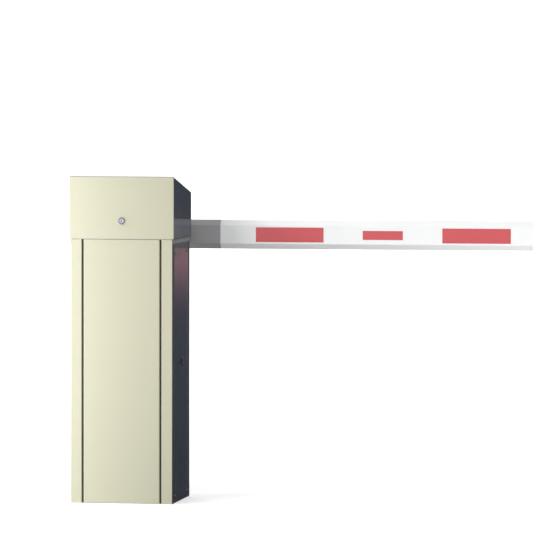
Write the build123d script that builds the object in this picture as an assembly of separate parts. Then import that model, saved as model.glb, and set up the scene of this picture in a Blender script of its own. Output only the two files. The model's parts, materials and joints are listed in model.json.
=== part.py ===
from build123d import *
import math
import os

# Boom barrier: a sheet-metal cabinet with a lift-off lid, and a boom on the drive's output shaft.
# Millimetres. X runs along the boom, Y from the front door to the boom side, Z up.
# The origin is on the underside of the base plate, at its middle.

# Cabinet body
body_width = 322.0
body_depth = 306.0
body_top = 827.5
sheet = 2.0
bend_radius = 3.0

# Front and back faces: a middle panel between two corner strips, with a shadow groove each side
strip_width = 34.0
groove_width = 6.0
groove_depth = 13.0
strip_outer_leg = 6.0
strip_edge = 1.0
door_floor_gap = 2.0
door_top_gap = 0.5

# Side faces: a raised cover panel on the side wall
panel_proud = 1.0
panel_front_margin = 30.0
panel_back_margin = 30.0
panel_bottom = 6.0
panel_top = 820.0
panel_corner = 3.0
panel_screw_inset_y = 18.0
panel_screw_low = 21.5
panel_screw_high = 784.0
panel_screw_radius = 3.0

# Photocell behind each side panel
photocell_height = 446.0
photocell_radius = 18.0
photocell_gap = 0.2
photocell_proud = 1.5
photocell_length = 30.0
photocell_bezel = 2.5
photocell_edge = 0.8
photocell_recess = 1.0

# Frame inside the cladding
base_thickness = 8.0
post_width = 40.0
post_depth = 24.0
post_wall = 2.5
ring_height = 1.5
ring_width = 18.0
ring_setback = 3.0

# Base plate: four anchor holes and the cable opening
anchor_spacing_x = 210.0
anchor_spacing_y = 190.0
anchor_radius = 7.0
cable_opening_x = 130.0
cable_opening_y = 100.0
cable_opening_corner = 12.0

# Lid
lid_overhang = 5.0
lid_proud = 2.0
lid_front_height = 195.5
lid_drop = 55.0
lid_sheet = 2.0
lid_flange = 20.0

# Lock in the lid
lock_above_seam = 56.5
lock_head_radius = 10.5
lock_head_height = 2.5
lock_head_edge = 1.2
lock_barrel_radius = 8.0
lock_barrel_length = 24.0
lock_plug_radius = 6.5
lock_plug_recess = 0.8
lock_hole_gap = 0.1
lock_nut_across = 22.0
lock_nut_height = 5.0
key_slot_width = 1.6
key_slot_height = 7.0
key_slot_depth = 6.0
cam_length = 34.0
cam_width = 14.0
cam_thickness = 2.0
strike_from_lock = 26.0
strike_foot = 24.0
strike_setback = 2.0
strike_past_cam = 8.0
strike_above_lock = 18.0
strike_round = 6.0
strike_slot_gap = 1.5

# Drive
shaft_above_seam = 5.0
shaft_radius = 17.5
shaft_running_gap = 0.05
shaft_inner_end = 11.0
shaft_hole_gap = 2.0
drive_plate_thickness = 6.0
drive_plate_on_post = 23.0
drive_plate_below_shaft = 244.0
drive_plate_above_shaft = 71.0
drive_plate_corner = 14.0
bearing_flange_radius = 56.0
bearing_flange_thickness = 10.0
bearing_barrel_radius = 42.0
bearing_past_lid = 4.0
bearing_clearance = 6.0
bearing_bolt_circle = 49.0
bearing_bolt_radius = 3.5
gearbox_radius = 68.0
gearbox_length = 88.0
gearbox_rim = 6.0
gearbox_rim_width = 8.0
gearbox_cover_radius = 50.0
gearbox_cover_height = 5.0
gearbox_rib_count = 8
gearbox_rib_thickness = 5.0
worm_offset = 58.0
worm_radius = 27.0
worm_above = 52.0
worm_below = 66.0
motor_radius = 40.0
motor_length = 150.0
motor_neck = 8.0
motor_edge = 3.0
motor_cap_length = 16.0
motor_cap_radius = 34.0

# Control unit
bracket_height = 140.0
bracket_below_top = 4.0
control_width = 190.0
control_depth = 54.0
control_height = 112.0
control_corner = 6.0
control_lid_height = 8.0
control_rib_count = 9
control_rib_width = 4.0
control_rib_depth = 2.0
control_rib_margin = 18.0

# Boom arm: a hub on the shaft, an eight-sided body and a spigot inside the boom
hub_clearance = 5.0
hub_boss_radius = 40.0
hub_radius = 60.0
arm_gap = 22.0
arm_end = 256.5
arm_wall = 7.0
arm_hollow_start = 78.0
hub_edge = 5.0
hub_bore_gap = 0.05
spigot_length = 150.0
spigot_gap = 0.3
spigot_wall = 5.0
hub_cap_radius = 46.0
hub_cap_height = 9.0
hub_cap_edge = 4.0

# Boom
boom_height = 92.0
boom_depth = 70.0
boom_bevel = 17.0
boom_round = 3.0
boom_wall = 2.2
boom_end = 3950.0
screw_port_radius = 3.6
screw_port_hole = 2.1
end_cap_thickness = 6.0
end_cap_round = 3.0
end_cap_plug = 30.0
end_cap_plug_wall = 3.0
end_cap_gap = 0.3

# Markings on both faces of the boom
stripe_start = 371.0
stripe_length = 217.5
stripe_height = 47.0
stripe_pitch = 597.0
stripe_count = 6
film_thickness = 0.6
dash_length = 128.0
dash_height = 28.5

# Places worked out from the sizes above
side_face = body_width / 2
front_face = -body_depth / 2
back_face = body_depth / 2
panel_face = side_face + panel_proud
wall_inner = side_face - sheet
post_face = back_face - groove_depth
post_back = post_face - post_depth
post_outer = wall_inner
post_inner = post_outer - post_width
door_half = side_face - strip_width - groove_width
seam = body_top + ring_height
shaft_height = seam + shaft_above_seam
lid_side = side_face + lid_overhang
lid_face = back_face + lid_proud
lid_front_top = seam + lid_front_height
lock_height = seam + lock_above_seam
panel_front = front_face + panel_front_margin
panel_back = back_face - panel_back_margin
panel_middle = (panel_front + panel_back) / 2
plate_back = post_back
plate_front = plate_back - drive_plate_thickness
bearing_end = lid_face + bearing_past_lid
hub_start = bearing_end + hub_clearance
arm_front = back_face + arm_gap
arm_back = arm_front + boom_depth
arm_middle = (arm_front + arm_back) / 2
notch_radius = bearing_barrel_radius + bearing_clearance
bracket_top = body_top - bracket_below_top
bracket_bottom = bracket_top - bracket_height
cam_back = -lid_face + lock_barrel_length


def save(shape, name):
    """Writes one piece as parts/NAME.step."""
    shape.label = name
    export_step(shape, f"parts/{name}.step")


def block(x_low, x_high, y_low, y_high, z_low, z_high):
    """A box between two corners."""
    size = (x_high - x_low, y_high - y_low, z_high - z_low)
    middle = ((x_low + x_high) / 2, (y_low + y_high) / 2, (z_low + z_high) / 2)
    return Pos(*middle) * Box(*size)


def rod_y(radius, y_low, y_high, x=0.0, z=0.0):
    """A cylinder along Y."""
    return Pos(x, (y_low + y_high) / 2, z) * Rot(90, 0, 0) * Cylinder(radius, y_high - y_low)


def rod_x(radius, x_low, x_high, y=0.0, z=0.0):
    """A cylinder along X."""
    return Pos((x_low + x_high) / 2, y, z) * Rot(0, 90, 0) * Cylinder(radius, x_high - x_low)


def rod_z(radius, z_low, z_high, x=0.0, y=0.0):
    """A cylinder along Z."""
    return Pos(x, y, (z_low + z_high) / 2) * Cylinder(radius, z_high - z_low)


def upright_edges(shape, x=None, y=None):
    """The vertical edges of a shape that stand at the given x or y."""
    edges = shape.edges().filter_by(Axis.Z)
    if x is not None:
        edges = edges.filter_by(lambda e: abs(e.center().X - x) < 0.01)
    if y is not None:
        edges = edges.filter_by(lambda e: abs(e.center().Y - y) < 0.01)
    return edges


def to_left(shape):
    """The same piece on the other side of the cabinet."""
    return mirror(shape, about=Plane.YZ)


def to_back(shape):
    """The same piece on the boom side of the cabinet."""
    return mirror(shape, about=Plane.XZ)


def octagon(inset):
    """The boom's eight-sided section, drawn in the YZ plane and taken in by an inset."""
    half_y = boom_depth / 2 - inset
    half_z = boom_height / 2 - inset
    bevel = boom_bevel - inset * (2 - math.sqrt(2))
    corners = [
        (half_y - bevel, half_z),
        (half_y, half_z - bevel),
        (half_y, bevel - half_z),
        (half_y - bevel, -half_z),
        (bevel - half_y, -half_z),
        (-half_y, bevel - half_z),
        (-half_y, half_z - bevel),
        (bevel - half_y, half_z),
    ]
    section = make_face(Polyline(*corners, close=True))
    return fillet(section.vertices(), max(boom_round - inset, 0.5))


def octagon_bar(x_low, x_high, inset=0.0):
    """A length of the eight-sided section along the boom."""
    plane = Plane(origin=(x_low, arm_middle, shaft_height), x_dir=(0, 1, 0), z_dir=(1, 0, 0))
    return extrude(plane * octagon(inset), x_high - x_low)


def make_base_plate():
    """The plate that is bolted to the ground, with four anchor holes and the cable opening."""
    plate = block(-wall_inner, wall_inner, -post_face, post_face, 0, base_thickness)
    for sx in (-1, 1):
        for sy in (-1, 1):
            x = sx * anchor_spacing_x / 2
            y = sy * anchor_spacing_y / 2
            plate -= rod_z(anchor_radius, -1, base_thickness + 1, x, y)
    opening = block(
        -cable_opening_x / 2, cable_opening_x / 2,
        -cable_opening_y / 2, cable_opening_y / 2,
        -1, base_thickness + 1,
    )
    plate -= fillet(opening.edges().filter_by(Axis.Z), cable_opening_corner)
    return plate


def make_post():
    """The front right corner post: a square tube that carries the strips, walls and door."""
    post = block(post_inner, post_outer, -post_face, -post_back, base_thickness, body_top)
    post = fillet(post.edges().filter_by(Axis.Z), post_wall)
    hollow = block(
        post_inner + post_wall, post_outer - post_wall,
        -post_face + post_wall, -post_back - post_wall,
        base_thickness - 1, body_top + 1,
    )
    return post - hollow


def make_top_frame():
    """The flat ring on top of the posts. The lid rests on it."""
    x = wall_inner
    y = back_face - ring_setback
    ring = block(-x, x, -y, y, body_top, seam)
    ring -= block(-x + ring_width, x - ring_width, -y + ring_width, y - ring_width, body_top - 1, seam + 1)
    return ring - rod_y(notch_radius, 0, body_depth, 0, shaft_height)


def photocell_hole():
    """The hole for the photocell through the side wall and its cover panel."""
    radius = photocell_radius + photocell_gap
    return rod_x(radius, wall_inner - 1, panel_face + 1, panel_middle, photocell_height)


def make_side_wall():
    """The right side wall, a flat sheet between the front and the back corner strip."""
    y = back_face - sheet
    wall = block(wall_inner, side_face, -y, y, 0, body_top)
    return wall - photocell_hole()


def make_side_panel():
    """The raised cover panel on the right side, with four screw holes and the photocell hole."""
    panel = block(side_face, panel_face, panel_front, panel_back, panel_bottom, panel_top)
    panel = fillet(panel.edges().filter_by(Axis.X), panel_corner)
    for y in (panel_front + panel_screw_inset_y, panel_back - panel_screw_inset_y):
        for z in (panel_screw_low, panel_screw_high):
            panel -= rod_x(panel_screw_radius, side_face - 1, panel_face + 1, y, z)
    return panel - photocell_hole()


def make_photocell():
    """The round photocell in the right side: a bezel round a recessed lens."""
    face = panel_face + photocell_proud
    body = rod_x(photocell_radius, face - photocell_length, face, panel_middle, photocell_height)
    rim = body.edges().filter_by(GeomType.CIRCLE).sort_by(Axis.X)[-1]
    body = chamfer(rim, photocell_edge)
    lens_radius = photocell_radius - photocell_bezel
    return body - rod_x(lens_radius, face - photocell_recess, face + 1, panel_middle, photocell_height)


def make_strip():
    """The front right corner strip: a sheet over the wall's edge, with a leg on each side."""
    inner = side_face - strip_width
    strip = block(inner, side_face, front_face, front_face + sheet, 0, body_top)
    strip += block(inner, inner + sheet, front_face, front_face + groove_depth, 0, body_top)
    outer_leg = front_face + strip_outer_leg
    strip += block(wall_inner - sheet, wall_inner, front_face, outer_leg, 0, body_top)
    groove_edge = upright_edges(strip, x=inner, y=front_face)
    strip = fillet(groove_edge, sheet * 0.9)
    return fillet(upright_edges(strip, x=side_face, y=front_face), strip_edge)


def make_door():
    """The front door: a pan of folded sheet between the two grooves."""
    low = door_floor_gap
    high = body_top - door_top_gap
    pan = block(-door_half, door_half, front_face, front_face + groove_depth, low, high)
    pan = fillet(upright_edges(pan, y=front_face), bend_radius)
    return pan - block(
        -door_half + sheet, door_half - sheet,
        front_face + sheet, front_face + groove_depth + 1,
        low + sheet, high - sheet,
    )


def make_back_panel():
    """The panel on the boom side: the door's pan with a half-round notch for the shaft bearing."""
    return to_back(make_door()) - rod_y(notch_radius, 0, body_depth, 0, shaft_height)


def make_drive_plate():
    """The upright plate between the back posts that carries the gearbox and the shaft bearing."""
    low = shaft_height - drive_plate_below_shaft
    high = shaft_height + drive_plate_above_shaft
    half = post_inner + drive_plate_on_post
    plate = block(-half, half, plate_front, plate_back, low, body_top)
    plate += block(-post_inner, post_inner, plate_front, plate_back, body_top, high)
    corners = plate.edges().filter_by(Axis.Y)
    plate = chamfer(corners.sort_by(Axis.Z)[-2:] + corners.sort_by(Axis.Z)[:2], drive_plate_corner)
    return plate - rod_y(shaft_radius + shaft_hole_gap, plate_front - 1, plate_back + 1, 0, shaft_height)


def make_shaft_bearing():
    """The flanged bearing housing on the drive plate. Its barrel runs out through the back."""
    flange_end = plate_back + bearing_flange_thickness
    housing = rod_y(bearing_flange_radius, plate_back, flange_end, 0, shaft_height)
    housing += rod_y(bearing_barrel_radius, plate_back, bearing_end, 0, shaft_height)
    rim = housing.edges().filter_by(GeomType.CIRCLE).sort_by(Axis.Y)[-1]
    housing = chamfer(rim, 2.0)
    for turn in range(6):
        angle = math.radians(30 + 60 * turn)
        x = bearing_bolt_circle * math.cos(angle)
        z = shaft_height + bearing_bolt_circle * math.sin(angle)
        housing -= rod_y(bearing_bolt_radius, plate_back - 1, flange_end + 1, x, z)
    return housing - rod_y(shaft_radius + shaft_running_gap, plate_back - 1, bearing_end + 1, 0, shaft_height)


def make_gearbox():
    """The worm gear's cast housing: a ribbed drum round the shaft and a sleeve for the worm."""
    front = plate_front - gearbox_length
    middle = (front + plate_front) / 2
    drum = rod_y(gearbox_radius, front, plate_front, 0, shaft_height)
    drum += rod_y(gearbox_radius + gearbox_rim, plate_front - gearbox_rim_width, plate_front, 0, shaft_height)
    drum += rod_y(gearbox_radius + gearbox_rim, front, front + gearbox_rim_width, 0, shaft_height)
    reach = gearbox_radius + gearbox_rim / 2
    for turn in range(gearbox_rib_count):
        rib = block(
            0, reach, front + 1, plate_front - 1,
            shaft_height - gearbox_rib_thickness / 2, shaft_height + gearbox_rib_thickness / 2,
        )
        turned = Axis((0, 0, shaft_height), (0, 1, 0))
        drum += rib.rotate(turned, 360 / gearbox_rib_count * turn)
    drum += rod_z(worm_radius, shaft_height - worm_below, shaft_height + worm_above, -worm_offset, middle)
    drum += rod_y(gearbox_cover_radius, front - gearbox_cover_height, front, 0, shaft_height)
    cover_front = front - gearbox_cover_height
    return drum - rod_y(shaft_radius + shaft_running_gap, cover_front - 1, plate_front + 1, 0, shaft_height)


def make_motor():
    """The motor that hangs under the worm sleeve, with its end cap."""
    middle = plate_front - gearbox_length / 2
    top = shaft_height - worm_below
    bottom = top - motor_neck - motor_length
    motor = rod_z(worm_radius, top - motor_neck, top, -worm_offset, middle)
    can = rod_z(motor_radius, bottom, top - motor_neck, -worm_offset, middle)
    can = chamfer(can.edges().filter_by(GeomType.CIRCLE), motor_edge)
    motor += can
    motor += rod_z(motor_cap_radius, bottom - motor_cap_length, bottom, -worm_offset, middle)
    return motor


def make_control_bracket():
    """The sheet between the front posts that holds the control unit."""
    x = post_outer - post_wall
    return block(-x, x, -post_back, -post_back + sheet, bracket_bottom, bracket_top)


def make_control_box():
    """The control unit's plastic housing with a ribbed cover on top."""
    front = -post_back + sheet
    back = front + control_depth
    top = bracket_top - (bracket_height - control_height) / 2
    half = control_width / 2
    box = block(-half, half, front, back, top - control_height, top)
    box = fillet(box.edges().filter_by(Axis.Z).filter_by(lambda e: e.center().Y > front + 1), control_corner)
    run = control_width - 2 * control_rib_margin
    for n in range(control_rib_count):
        x = -run / 2 + run * n / (control_rib_count - 1)
        box -= block(
            x - control_rib_width / 2, x + control_rib_width / 2,
            back - control_rib_depth, back + 1,
            top - control_height + control_rib_margin, top - control_rib_margin,
        )
    seam_z = top - control_lid_height
    groove = block(-half - 1, half + 1, front - 1, back + 1, seam_z - 1, seam_z)
    core = block(-half + 1, half - 1, front - 2, back - 1, seam_z - 2, seam_z + 1)
    return box - (groove - core)


def lid_prism(half_width, y_low, y_high, below_top, z_low):
    """The lid's wedge: an upright prism whose top slopes down towards the boom side."""
    def roof(y):
        share = (y + lid_face) / (2 * lid_face)
        return lid_front_top - lid_drop * share - below_top
    outline = Polyline(
        (y_low, z_low), (y_high, z_low), (y_high, roof(y_high)), (y_low, roof(y_low)), close=True
    )
    plane = Plane(origin=(-half_width, 0, 0), x_dir=(0, 1, 0), z_dir=(1, 0, 0))
    return extrude(plane * make_face(outline), 2 * half_width)


def make_lid_hood():
    """The dark part of the lid: both sides and the sloping top, folded from one sheet."""
    outer = lid_prism(lid_side, -lid_face, lid_face, 0, seam)
    long_top = outer.edges().sort_by(Axis.Z)[-5:].filter_by(lambda e: abs(e.center().Y) < 1)
    outer = fillet(long_top, bend_radius)
    inner = lid_side - lid_sheet
    hood = outer - lid_prism(inner, -lid_face - 1, lid_face + 1, lid_sheet, seam - 1)
    for side in (-1, 1):
        y_low = min(side * (lid_face - lid_sheet), side * (lid_face + 1))
        y_high = max(side * (lid_face - lid_sheet), side * (lid_face + 1))
        hood -= lid_prism(lid_side + 1, y_low, y_high, lid_sheet, seam - 1)
        x_low = min(side * (inner - lid_flange + lid_sheet), side * inner)
        x_high = max(side * (inner - lid_flange + lid_sheet), side * inner)
        y = lid_face - lid_sheet
        hood += block(x_low, x_high, -y, y, seam, seam + lid_sheet)
    return hood


def make_lid_front():
    """The lid's front plate, with the hole for the lock."""
    plate = lid_prism(lid_side, -lid_face, -lid_face + lid_sheet, lid_sheet, seam)
    plate = fillet(upright_edges(plate, y=-lid_face), lid_sheet * 0.9)
    hole_radius = lock_barrel_radius + lock_hole_gap
    return plate - rod_y(hole_radius, -lid_face - 1, -lid_face + lid_sheet + 1, 0, lock_height)


def make_lid_back():
    """The lid's back plate, notched over the shaft bearing so that the lid lifts straight off."""
    plate = lid_prism(lid_side, lid_face - lid_sheet, lid_face, lid_sheet, seam)
    plate = fillet(upright_edges(plate, y=lid_face), lid_sheet * 0.9)
    return plate - rod_y(notch_radius, 0, body_depth, 0, shaft_height)


def make_lock_barrel():
    """The cam lock: a head on the lid's face, a barrel through it, a nut and the cam, turned open."""
    face = -lid_face
    tail = cam_back
    head = rod_y(lock_head_radius, face - lock_head_height, face, 0, lock_height)
    front_rim = head.edges().filter_by(GeomType.CIRCLE).sort_by(Axis.Y)[0]
    head = chamfer(front_rim, lock_head_edge)
    lock = head + rod_y(lock_barrel_radius, face, tail, 0, lock_height)
    nut_plane = Plane(origin=(0, face + lid_sheet + lock_nut_height, lock_height), z_dir=(0, -1, 0))
    hexagon = RegularPolygon(lock_nut_across / 2, 6, major_radius=False)
    lock += extrude(nut_plane * hexagon, lock_nut_height)
    cam = block(
        -cam_width / 2, cam_width / 2, tail, tail + cam_thickness,
        lock_height - cam_length, lock_height + cam_width / 2,
    )
    lock += fillet(cam.edges().filter_by(Axis.Y), cam_width * 0.4)
    plug_seat = rod_y(
        lock_plug_radius + lock_hole_gap, face - lock_head_height - 1, tail - cam_thickness, 0, lock_height
    )
    return lock - plug_seat


def make_lock_strike():
    """The bracket on the top frame whose slot takes the lock's cam when it is turned sideways."""
    right = -strike_from_lock
    front = -back_face + ring_setback + strike_setback
    back = cam_back + cam_thickness + strike_past_cam
    top = lock_height + strike_above_lock
    foot = block(right - strike_foot, right, front, back, seam, seam + sheet)
    plate = block(right - sheet, right, front, back, seam, top)
    corner = plate.edges().filter_by(Axis.X).sort_by(Axis.Z)[-2:]
    strike = foot + fillet(corner, strike_round)
    half_slot = cam_width / 2 + strike_slot_gap
    return strike - block(
        right - sheet - 1, right + 1, cam_back - strike_slot_gap, cam_back + cam_thickness + strike_slot_gap,
        lock_height - half_slot, lock_height + half_slot,
    )


def make_lock_plug():
    """The turning plug of the lock, with its key slot upright."""
    face = -lid_face - lock_head_height + lock_plug_recess
    back = -lid_face + lock_barrel_length - cam_thickness
    plug = rod_y(lock_plug_radius, face, back, 0, lock_height)
    return plug - block(
        -key_slot_width / 2, key_slot_width / 2, face - 1, face + key_slot_depth,
        lock_height - key_slot_height / 2, lock_height + key_slot_height / 2,
    )


def make_output_shaft():
    """The shaft that carries the boom, through the gearbox and the bearing into the hub."""
    shaft = rod_y(shaft_radius, shaft_inner_end, arm_back, 0, shaft_height)
    return chamfer(shaft.edges().filter_by(GeomType.CIRCLE), 1.0)


def make_boom_arm():
    """The cast arm: a hub on the shaft, an eight-sided body behind the cabinet and a spigot."""
    body = octagon_bar(0, arm_end)
    hub = rod_y(hub_radius, arm_front, arm_back, 0, shaft_height)
    hub = chamfer(hub.edges().filter_by(GeomType.CIRCLE), hub_edge)
    arm = body + hub
    arm += rod_y(hub_boss_radius, hub_start, arm_front + hub_edge, 0, shaft_height)
    arm -= octagon_bar(arm_hollow_start, arm_end, arm_wall)
    spigot_inset = boom_wall + spigot_gap
    spigot = octagon_bar(arm_end, arm_end + spigot_length, spigot_inset)
    spigot -= octagon_bar(arm_end, arm_end + spigot_length + 1, spigot_inset + spigot_wall)
    arm += spigot
    return arm - rod_y(shaft_radius + hub_bore_gap, hub_start - 1, arm_back + 1, 0, shaft_height)


def make_hub_cap():
    """The round cap that covers the end of the shaft on the boom side."""
    cap = rod_y(hub_cap_radius, arm_back, arm_back + hub_cap_height, 0, shaft_height)
    rim = cap.edges().filter_by(GeomType.CIRCLE).sort_by(Axis.Y)[-1]
    return chamfer(rim, hub_cap_edge)


def make_boom_tube():
    """The boom's extruded tube: eight sides, with a screw port above and below inside."""
    tube = octagon_bar(arm_end, boom_end) - octagon_bar(arm_end - 1, boom_end + 1, boom_wall)
    start = arm_end + spigot_length + 2
    for side in (-1, 1):
        z = shaft_height + side * (boom_height / 2 - boom_wall - screw_port_radius + 0.4)
        port = rod_x(screw_port_radius, start, boom_end - end_cap_plug - 1, arm_middle, z)
        port -= rod_x(screw_port_hole, start - 1, boom_end, arm_middle, z)
        tube += port
    return tube


def make_end_cap():
    """The plastic cap in the boom's free end."""
    cap = octagon_bar(boom_end, boom_end + end_cap_thickness)
    rim = cap.faces().sort_by(Axis.X)[-1].edges()
    cap = fillet(rim, end_cap_round * 0.8)
    plug_inset = boom_wall + end_cap_gap
    cap += octagon_bar(boom_end - end_cap_plug, boom_end, plug_inset)
    return cap - octagon_bar(boom_end - end_cap_plug - 1, boom_end - 1, plug_inset + end_cap_plug_wall)


def film(x_low, x_high, height, front):
    """One piece of reflective film on the boom's front or back face."""
    y_low = arm_front - film_thickness if front else arm_back
    z_low = shaft_height - height / 2
    return block(x_low, x_high, y_low, y_low + film_thickness, z_low, z_low + height)


def make_stripes(front):
    """The row of long red stripes on one face of the boom."""
    starts = [stripe_start + stripe_pitch * n for n in range(stripe_count)]
    return Compound(children=[film(x, x + stripe_length, stripe_height, front) for x in starts])


def make_dash():
    """The short red dash between the first two stripes, on the front face only."""
    middle = stripe_start + (stripe_length + stripe_pitch) / 2
    return film(middle - dash_length / 2, middle + dash_length / 2, dash_height, True)


os.makedirs("parts", exist_ok=True)

save(make_base_plate(), "base_plate")
save(make_top_frame(), "top_frame")
save(make_door(), "front_door")
save(make_back_panel(), "back_panel")

# Each corner and each side comes from one piece, mirrored
for part, name in ((make_post(), "corner_post"), (make_strip(), "corner_strip")):
    save(part, f"{name}_front_right")
    save(to_left(part), f"{name}_front_left")
    save(to_back(part), f"{name}_back_right")
    save(to_back(to_left(part)), f"{name}_back_left")
for part, name in (
    (make_side_wall(), "side_wall"),
    (make_side_panel(), "side_panel"),
    (make_photocell(), "photocell"),
):
    save(part, f"{name}_right")
    save(to_left(part), f"{name}_left")

save(make_drive_plate(), "drive_plate")
save(make_shaft_bearing(), "shaft_bearing")
save(make_gearbox(), "gearbox_housing")
save(make_motor(), "drive_motor")
save(make_lock_strike(), "lock_strike")
save(make_control_bracket(), "control_bracket")
save(make_control_box(), "control_box")

save(make_lid_hood(), "lid_hood")
save(make_lid_front(), "lid_front")
save(make_lid_back(), "lid_back")
save(make_lock_barrel(), "lock_barrel")
save(make_lock_plug(), "lock_plug")

save(make_output_shaft(), "output_shaft")
save(make_boom_arm(), "boom_arm")
save(make_hub_cap(), "hub_cap")
save(make_boom_tube(), "boom_tube")
save(make_end_cap(), "boom_end_cap")
save(make_stripes(True), "boom_stripes_front")
save(make_stripes(False), "boom_stripes_back")
save(make_dash(), "boom_dash")
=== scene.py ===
# %% [markdown]
# # A road boom barrier, dressed for its photograph
# The solids of this barrier come from a CAD model: a sheet-metal cabinet, a lift-off lid, a drive
# and a long eight-sided boom. This script gives them their paint, metal, film and light, and adds
# the small things that a CAD model leaves out, such as screws and lenses. Everything is in metres.
# The origin is on the ground under the middle of the cabinet, X runs along the boom, and the
# front door faces -Y.

# %% Load the frame
import json
import math

import bmesh
import bpy
from mathutils import Matrix, Vector


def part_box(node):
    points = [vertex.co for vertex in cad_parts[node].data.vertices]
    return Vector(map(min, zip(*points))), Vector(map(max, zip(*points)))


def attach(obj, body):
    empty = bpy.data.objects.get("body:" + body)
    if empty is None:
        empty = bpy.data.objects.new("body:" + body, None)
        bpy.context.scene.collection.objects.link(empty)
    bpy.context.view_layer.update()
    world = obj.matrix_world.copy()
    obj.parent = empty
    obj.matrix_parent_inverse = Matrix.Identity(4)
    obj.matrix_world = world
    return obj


MM = 0.001

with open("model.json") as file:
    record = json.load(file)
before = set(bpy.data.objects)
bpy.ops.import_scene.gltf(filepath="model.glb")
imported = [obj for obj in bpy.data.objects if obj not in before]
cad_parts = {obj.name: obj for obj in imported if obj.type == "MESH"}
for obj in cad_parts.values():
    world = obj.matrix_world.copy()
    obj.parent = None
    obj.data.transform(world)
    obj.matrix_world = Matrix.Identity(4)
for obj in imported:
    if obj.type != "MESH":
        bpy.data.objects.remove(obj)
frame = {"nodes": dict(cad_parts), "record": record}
nodes = frame["nodes"]
scene = bpy.context.scene
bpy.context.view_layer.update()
print("the frame has", len(nodes), "nodes")

# %% [markdown]
# ## The camera
# The picture was taken from far away with a long lens, so the cabinet's edges stay almost
# parallel. A camera could be aimed by a constraint at an empty, but a rotation worked out from
# three angles says exactly where it looks and needs nothing to follow. The angles and the place
# come from matching the cabinet's corners and the red stripes. The lens follows from the focal
# length in pixels, because the sensor's 36 mm are as wide as the picture.

# %% Camera
PICTURE_WIDTH = 533
FOCAL_PIXELS = 4631.9
SENSOR_WIDTH = 36.0
CAMERA_PLACE = Vector((2.7787, -14.3467, 1.3350))
CAMERA_YAW = 0.1620
CAMERA_PITCH = -0.0409
CAMERA_ROLL = 0.0016
FAR_CLIP = 500.0


def add_object(name, data):
    """A new object in the scene round a mesh, a lamp or a lens."""
    piece = bpy.data.objects.new(name, data)
    scene.collection.objects.link(piece)
    return piece


def aim(yaw, pitch, roll):
    """The rotation of a camera that looks along +Y, then turns left, tilts up and rolls."""
    level = math.cos(pitch)
    forward = Vector((-math.sin(yaw) * level, math.cos(yaw) * level, math.sin(pitch)))
    right = Vector((math.cos(yaw), math.sin(yaw), 0.0))
    up = right.cross(forward)
    rolled_right = math.cos(roll) * right + math.sin(roll) * up
    rolled_up = math.cos(roll) * up - math.sin(roll) * right
    return Matrix((rolled_right, rolled_up, -forward)).transposed().to_4x4()


lens = bpy.data.cameras.new("camera")
lens.sensor_width = SENSOR_WIDTH
lens.lens = FOCAL_PIXELS * SENSOR_WIDTH / PICTURE_WIDTH
lens.clip_end = FAR_CLIP
camera = add_object("camera", lens)
camera.matrix_world = Matrix.Translation(CAMERA_PLACE) @ aim(CAMERA_YAW, CAMERA_PITCH, CAMERA_ROLL)
scene.camera = camera
scene.view_settings.view_transform = "Standard"
print("the lens is", round(lens.lens, 1), "mm long")

# %% [markdown]
# ## Helpers for shader networks
# A finish is a small network of shader nodes. It could be drawn by hand in the shader editor,
# but in a script it helps to have one function that adds a node and fills its sockets by name,
# and a few for the nodes that every network needs: maths, a blend of two colours, a change of
# range. A value may be a number, a colour or another node's output, so one call does both
# the filling and the linking.

# %% Nodes and links
def fill_socket(tree, socket, value):
    """Links an output to a socket, or writes a plain value into it."""
    if isinstance(value, bpy.types.NodeSocket):
        tree.links.new(value, socket)
    else:
        socket.default_value = value


def add_node(tree, kind, settings=None, **inputs):
    """Adds a node. Inputs are named with underscores for spaces."""
    node = tree.nodes.new(kind)
    for name, value in (settings or {}).items():
        setattr(node, name, value)
    for name, value in inputs.items():
        fill_socket(tree, node.inputs[name.replace("_", " ")], value)
    return node


def calculate(tree, operation, first, second=0.0, clamp=False):
    """One step of arithmetic, as an output."""
    node = add_node(tree, "ShaderNodeMath", {"operation": operation, "use_clamp": clamp})
    fill_socket(tree, node.inputs[0], first)
    fill_socket(tree, node.inputs[1], second)
    return node.outputs[0]


def multiply(tree, first, second, clamp=False):
    """The product of two values, as an output."""
    return calculate(tree, "MULTIPLY", first, second, clamp)


def calculate_vector(tree, operation, first, second=None):
    """One step of vector arithmetic. Returns the node's outputs, Vector and Value."""
    node = add_node(tree, "ShaderNodeVectorMath", {"operation": operation})
    fill_socket(tree, node.inputs[0], first)
    if second is not None:
        fill_socket(tree, node.inputs[1], second)
    return node.outputs


def remap(tree, value, low, high, new_low=0.0, new_high=1.0):
    """A value between low and high, moved to a new range and held there."""
    limits = {"From_Min": low, "From_Max": high, "To_Min": new_low, "To_Max": new_high}
    return add_node(tree, "ShaderNodeMapRange", Value=value, **limits).outputs[0]


def blend_colours(tree, factor, first, second):
    """A mix of two colours, as an output."""
    node = add_node(tree, "ShaderNodeMix", {"data_type": "RGBA"})
    for index, value in ((0, factor), (6, first), (7, second)):
        fill_socket(tree, node.inputs[index], value)
    return node.outputs[2]


# %% Coordinates and noise
NOISE_LOW, NOISE_HIGH = 0.3, 0.7


def own_place(tree):
    """The object's own coordinates, which stay with a piece when it moves."""
    return tree.nodes.new("ShaderNodeTexCoord").outputs["Object"]


def split_xyz(tree, vector):
    """The three numbers of a vector, as outputs named X, Y and Z."""
    return add_node(tree, "ShaderNodeSeparateXYZ", Vector=vector).outputs


def noise(tree, place, scale, detail, roughness=0.5):
    """Soft random clouds, as an output. Nearly all lie between NOISE_LOW and NOISE_HIGH."""
    node = add_node(tree, "ShaderNodeTexNoise", Vector=place, Scale=scale, Detail=detail)
    node.inputs["Roughness"].default_value = roughness
    return node.outputs[0]


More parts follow.
